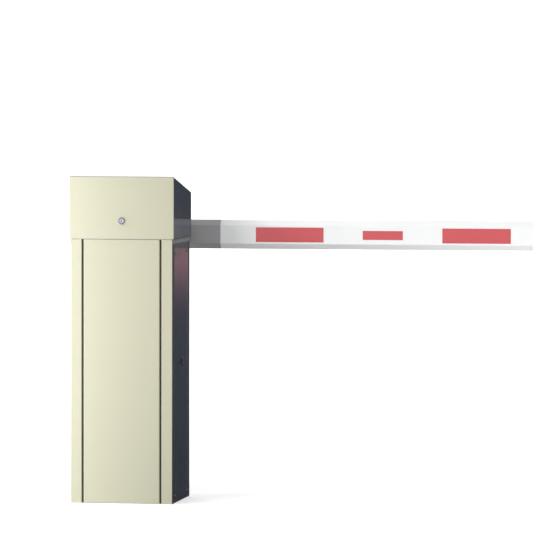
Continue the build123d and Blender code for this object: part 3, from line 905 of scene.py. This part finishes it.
def add_seal(bm, x, y, outward):
    """Adds one upright seal with a rounded face that looks along outward * Y."""
    section = [(-seal_half, 0.0)]
    for step in range(SEAL_STEPS + 1):
        angle = math.pi * (1 - step / SEAL_STEPS)
        share = SEAL_EDGE_SHARE + (1 - SEAL_EDGE_SHARE) * math.sin(angle)
        section.append((seal_half * math.cos(angle), outward * SEAL_RISE * share))
    section.append((seal_half, 0.0))
    rings = []
    for z in (strip_low.z, strip_high.z):
        rings.append([bm.verts.new((x + dx, y + dy, z)) for dx, dy in section])
    join_rings(bm, rings)


bm = bmesh.new()
for x in (-seal_middle, seal_middle):
    add_seal(bm, x, post_front, -1)
    add_seal(bm, x, -post_front, 1)
finish_piece("groove_shade_seals", bm, seal_rubber_and_shade, "cabinet")
print("seals are", round(2 * seal_half / MM, 1), "mm wide")

# %% [markdown]
# ## Trims under the lid
# Along the top of each side, just below the lid, runs a line paler than the paint around it: a
# slim grey-painted edge trim that covers the end of the side wall. Its pale grey is a painted
# reflection of the light band that the side mirrors under the lid. Its section is a flat strip
# with rounded outer corners, which is drawn once for each side and pulled along Y.

# %% Edge trims
TRIM_HEIGHT = 13.0 * MM
TRIM_STAND = 2.2 * MM
TRIM_ROUND = 0.8 * MM
TRIM_FROM_CORNER = 3.0 * MM
TRIM_STEPS = 4


def trim_section(sign, face, top):
    """The trim's outline in XZ, anticlockwise: flat against the wall and rounded outside."""
    outer = face + sign * TRIM_STAND
    points = [(face, top - TRIM_HEIGHT), (face, top)]
    for corner_z, first in ((top - TRIM_ROUND, 90), (top - TRIM_HEIGHT + TRIM_ROUND, 0)):
        for step in range(TRIM_STEPS + 1):
            angle = math.radians(first - 90 * step / TRIM_STEPS)
            reach = outer - sign * TRIM_ROUND + sign * TRIM_ROUND * math.cos(angle)
            points.append((reach, corner_z + TRIM_ROUND * math.sin(angle)))
    return points


bm = bmesh.new()
for side, sign in SIDES:
    low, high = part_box("side_wall_" + side)
    face = high.x if sign > 0 else low.x
    section = trim_section(sign, face, high.z)
    rings = []
    for y in (low.y + TRIM_FROM_CORNER, high.y - TRIM_FROM_CORNER):
        rings.append([bm.verts.new((x, y, z)) for x, z in section])
    join_rings(bm, rings)
finish_piece("edge_trims_reflection", bm, trim_painted_reflection, "cabinet")
print("each trim is", round(TRIM_HEIGHT / MM, 1), "mm high")

# %% [markdown]
# ## The photocells' windows
# The round piece in each side looks dark because its window only passes infrared light. A
# flat disc would look like a hole, so the window is a shallow dome that sits in the bezel and
# catches a small highlight. It is turned like the screws, with rings that rise to the middle.

# %% Photocell windows
WINDOW_RADIUS = 15.2
WINDOW_RISE = 2.2
WINDOW_RINGS = 7
WINDOW_SEAT = 0.98 * MM
dome = [(circle(WINDOW_RADIUS), 0.0)]
for number in range(WINDOW_RINGS):
    turn = math.pi / 2 * (number + 0.5) / WINDOW_RINGS
    dome.append((circle(WINDOW_RADIUS * math.cos(turn)), WINDOW_RISE * math.sin(turn)))
for side, sign in SIDES:
    low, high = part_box("photocell_" + side)
    face = high.x if sign > 0 else low.x
    centre = (face - sign * WINDOW_SEAT, (low.y + high.y) / 2, (low.z + high.z) / 2)
    place = [facing(centre, (sign, 0, 0))]
    name = "photocell_window_" + side
    turned_copies(name, dome, place, window_black, "cabinet")

# %% [markdown]
# ## The studio
# The barrier stands in an empty white studio. A curved backdrop would do, but the camera is
# far away and other views are further still, so the floor is simply very large and the world
# behind it is white. The floor is white where full light reaches it and darker where the
# barrier stands in the light. To reach white with the lamps at a plain level, the camera sees
# some added glow in the floor, and more of it further away, where the lamps no longer reach.
# Light Path tells camera, mirror and glass rays from the rays that carry the light, so the glow
# never lights the barrier. In the picture the floor throws less light up under the first metre
# of the boom than further out. So for the rays that carry the light, the floor is dark in a zone
# in front of and below that metre, and fades back to white around it.

# %% World and floor
WHITE = (1.0, 1.0, 1.0, 1.0)
FLOOR_HALF = 200.0
FLOOR_COLOUR = (0.70, 0.70, 0.70, 1.0)
FLOOR_GLOW = 0.50
GLOW_NEAR = 0.5
GLOW_FAR = 5.0
SHADE_COLOUR = (0.040, 0.038, 0.035, 1.0)
SHADE_PLACE = (0.72, -0.30, 0.0)
SHADE_NEAR = 0.30
SHADE_FAR = 0.84
WORLD_FILL = 0.2


def seen_directly(tree):
    """1 for rays from the camera, a mirror or through glass; 0 for rays that gather light."""
    path = tree.nodes.new("ShaderNodeLightPath").outputs
    mirrored = calculate(tree, "MAXIMUM", path["Is Camera Ray"], path["Is Glossy Ray"])
    return calculate(tree, "MAXIMUM", mirrored, path["Is Transmission Ray"])


def stage_material(name):
    """A material with an empty network. Returns it, the network and the output's socket."""
    material = bpy.data.materials.new(name)
    material.use_nodes = True
    tree = material.node_tree
    tree.nodes.clear()
    return material, tree, tree.nodes.new("ShaderNodeOutputMaterial").inputs["Surface"]


def build_world():
    """A white background with a softer fill light."""
    world = bpy.data.worlds.new("studio")
    world.use_nodes = True
    tree = world.node_tree
    background = next(node for node in tree.nodes if node.type == "BACKGROUND")
    background.inputs["Color"].default_value = WHITE
    strength = remap(tree, seen_directly(tree), 0.0, 1.0, WORLD_FILL, 1.0)
    tree.links.new(strength, background.inputs["Strength"])
    return world


def build_floor():
    """A very large white floor that glows for the camera and throws little light at the root."""
    material, tree, surface = stage_material("studio_floor")
    seen = seen_directly(tree)
    place = own_place(tree)
    from_root = calculate_vector(tree, "DISTANCE", place, SHADE_PLACE)["Value"]
    near_root = remap(tree, from_root, SHADE_NEAR, SHADE_FAR, 1.0, 0.0)
    dimmed = multiply(tree, near_root, calculate(tree, "SUBTRACT", 1.0, seen))
    colour = blend_colours(tree, dimmed, FLOOR_COLOUR, SHADE_COLOUR)
    diffuse = add_node(tree, "ShaderNodeBsdfDiffuse", Color=colour)
    distance = calculate_vector(tree, "LENGTH", place)["Value"]
    level = remap(tree, distance, GLOW_NEAR, GLOW_FAR, FLOOR_GLOW, 1.0)
    strength = multiply(tree, seen, level)
    glow = add_node(tree, "ShaderNodeEmission", Color=WHITE, Strength=strength)
    both = tree.nodes.new("ShaderNodeAddShader")
    tree.links.new(diffuse.outputs[0], both.inputs[0])
    tree.links.new(glow.outputs[0], both.inputs[1])
    tree.links.new(both.outputs[0], surface)
    mesh = bpy.data.meshes.new("studio_floor")
    signs = ((-1, -1), (1, -1), (1, 1), (-1, 1))
    corners = [(x * FLOOR_HALF, y * FLOOR_HALF, 0.0) for x, y in signs]
    mesh.from_pydata(corners, [], [(0, 1, 2, 3)])
    mesh.materials.append(material)
    floor = add_object("studio_floor", mesh)


scene.world = build_world()
build_floor()
print("the floor is", 2 * FLOOR_HALF, "m wide")

# %% [markdown]
# ## The lamps
# Suns light the whole length of the boom evenly, which a lamp close to it can't do. The left one
# leaves the root of the boom in the cabinet's shade, and the lid shades the root from a high one,
# so the face and the upper bevel grow brighter along the boom, as in the picture. Mirror rays
# don't see the suns, because gloss paint would show them as bright spots. Two narrow lamps close
# to the left of the cabinet make the cream front brighter on its left than on its right, a lamp
# near the floor stands for the light that a white floor throws back under the boom, and a sun
# from behind keeps the back readable.

# %% Lamps
def soft_lamp(name, place, target, width, height, power):
    """A rectangular lamp that looks at a target."""
    lamp = bpy.data.lights.new(name, "AREA")
    lamp.shape = "RECTANGLE"
    lamp.size = width
    lamp.size_y = height
    lamp.energy = power
    piece = add_object(name, lamp)
    piece.matrix_world = facing(place, Vector(target) - Vector(place), "-Z")
    piece.visible_camera = False


def sun_lamp(name, direction, strength, softness):
    """A sun that shines along a direction. Its softness is an angle in degrees."""
    lamp = bpy.data.lights.new(name, "SUN")
    lamp.energy = strength
    lamp.angle = math.radians(softness)
    piece = add_object(name, lamp)
    piece.rotation_euler = Vector(direction).to_track_quat("-Z", "Y").to_euler()
    piece.visible_glossy = False


SOFT_LAMPS = (  # name, place, target, width, height, power
    ("front_strip_lamp", (-0.38, -0.58, 0.62), (-0.03, -0.15, 0.60), 0.2, 1.4, 3.1),
    ("left_strip_lamp", (-0.50, -0.40, 0.65), (0.0, -0.15, 0.62), 0.25, 1.4, 2.0),
    ("floor_bounce_lamp", (2.60, -0.1, 0.03), (2.60, 0.2, 0.8), 3.4, 0.4, 12.5),
)
SUNS = (  # name, direction, strength, softness
    ("left_sun", (0.55, 1.0, -0.55), 0.79, 14.0),
    ("front_sun", (0.0, 1.0, -0.47), 0.20, 30.0),
    ("right_sun", (-0.42, 0.91, -0.47), 0.36, 30.0),
    ("top_sun", (-0.15, 0.5, -1.0), 0.74, 40.0),
    ("high_left_sun", (2.1, 0.5, -1.0), 0.97, 6.0),
    ("back_sun", (0.4, -1.0, -0.4), 1.35, 30.0),
)
for settings in SOFT_LAMPS:
    soft_lamp(*settings)
for settings in SUNS:
    sun_lamp(*settings)
print("lit by", len(SOFT_LAMPS), "soft lamps and", len(SUNS), "suns")

# %% [markdown]
# ## Dark cards for the dark side
# At a grazing angle even dark paint mirrors what stands behind it, and a white studio would turn
# the anthracite side grey. Photographers set up black cards where the side would mirror them.
# Here one lies on the floor behind the barrier's right and one stands behind it, with a faint
# warm band that the side mirrors just below the boom. A third stands in front on the right, where
# it darkens the right-hand edge of the lock and of other small round parts. Only mirror rays
# see them, so they change reflections and nothing else.

# %% Dark cards
CARD_LEFT = 0.162
CARD_RIGHT = 7.0
CARD_START = -0.35
CARD_END = 6.0
CARD_TOP = 4.0
CARD_LIFT = 0.001
CARD_DARK = (0.048, 0.051, 0.060, 1.0)
CARD_BAND = (0.66, 0.33, 0.35, 1.0)
BAND_LOW = 0.26
BAND_HIGH = 0.54
BAND_END = 0.64
FRONT_CARD_LEFT = (1.0, -2.9)
FRONT_CARD_RIGHT = (3.2, -1.2)
FRONT_CARD_TOP = 2.2
FRONT_CARD_FOOT = FRONT_CARD_TOP / 3


def build_cards():
    """A lying card and two standing ones that only mirror rays see."""
    material, tree, surface = stage_material("dark_card")
    height = split_xyz(tree, own_place(tree))["Z"]
    rising = remap(tree, height, BAND_LOW, BAND_HIGH)
    ending = remap(tree, height, BAND_HIGH, BAND_END, 1.0, 0.0)
    band = multiply(tree, calculate(tree, "POWER", rising, 2.0), ending)
    colour = blend_colours(tree, band, CARD_DARK, CARD_BAND)
    glow = add_node(tree, "ShaderNodeEmission", Color=colour)
    tree.links.new(glow.outputs[0], surface)
    corners = (
        (CARD_LEFT, CARD_START, CARD_LIFT), (CARD_RIGHT, CARD_START, CARD_LIFT),
        (CARD_RIGHT, CARD_END, CARD_LIFT), (CARD_LEFT, CARD_END, CARD_LIFT),
        (CARD_RIGHT, CARD_END, CARD_TOP), (CARD_LEFT, CARD_END, CARD_TOP),
        (*FRONT_CARD_LEFT, FRONT_CARD_FOOT), (*FRONT_CARD_RIGHT, FRONT_CARD_FOOT),
        (*FRONT_CARD_RIGHT, FRONT_CARD_TOP), (*FRONT_CARD_LEFT, FRONT_CARD_TOP),
    )
    mesh = bpy.data.meshes.new("dark_cards")
    mesh.from_pydata(corners, [], [(0, 1, 2, 3), (3, 2, 4, 5), (6, 7, 8, 9)])
    mesh.materials.append(material)
    cards = add_object("dark_cards", mesh)
    for rays in ("camera", "diffuse", "shadow", "transmission"):
        setattr(cards, "visible_" + rays, False)


build_cards()
print("three dark cards, the highest", CARD_TOP, "m")
